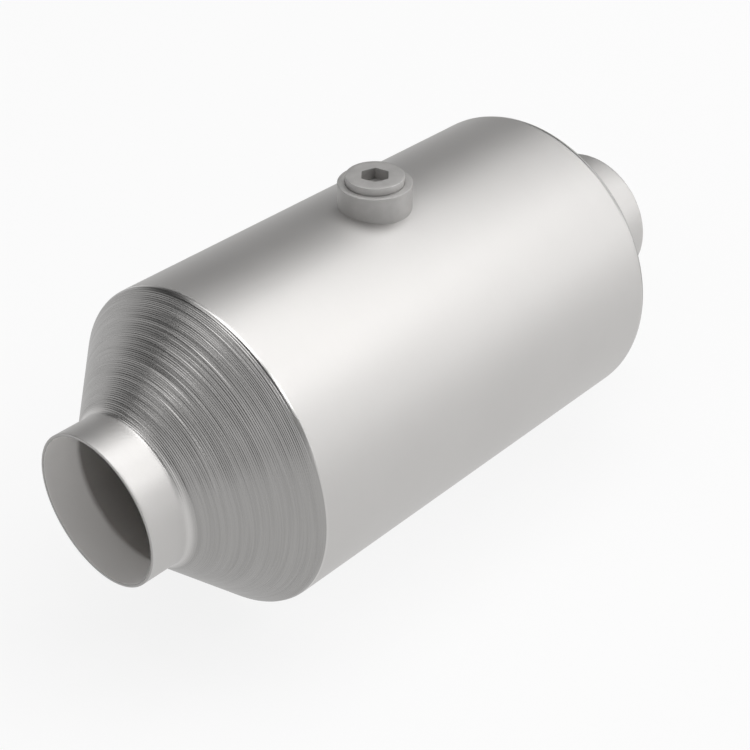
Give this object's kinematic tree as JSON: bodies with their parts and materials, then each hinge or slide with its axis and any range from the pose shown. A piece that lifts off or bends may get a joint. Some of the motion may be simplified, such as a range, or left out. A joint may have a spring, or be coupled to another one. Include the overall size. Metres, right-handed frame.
{
  "type": "catalytic converter",
  "caption": "Round catalytic converter spun from one stainless tube, with conical ends, open necks for the exhaust pipes and a plugged sensor port half way along.",
  "frame": {"origin": "centre of the inlet neck's open rim", "axes": "+X along the can from the inlet to the outlet, +Z towards the sensor port"},
  "size_m": [0.2815, 0.127, 0.139],
  "materials": {
    "stainless_can": "satin stainless steel",
    "boss_steel": "plain matte steel",
    "plug_steel": "plain matte steel",
    "washer_copper": "soft copper",
    "ceramic": "coated porous ceramic",
    "fibre_mat": "pressed fibre",
    "knitted_wire": "knitted wire"
  },
  "bodies": {
    "root": {"shell": "stainless_can", "sensor_boss": "boss_steel", "port_plug": "plug_steel", "plug_washer": "washer_copper", "front_brick": "ceramic", "rear_brick": "ceramic", "front_mat": "fibre_mat", "rear_mat": "fibre_mat", "front_inlet_seal": "knitted_wire", "front_outlet_seal": "knitted_wire", "rear_inlet_seal": "knitted_wire", "rear_outlet_seal": "knitted_wire"}
  },
  "joints": []
}
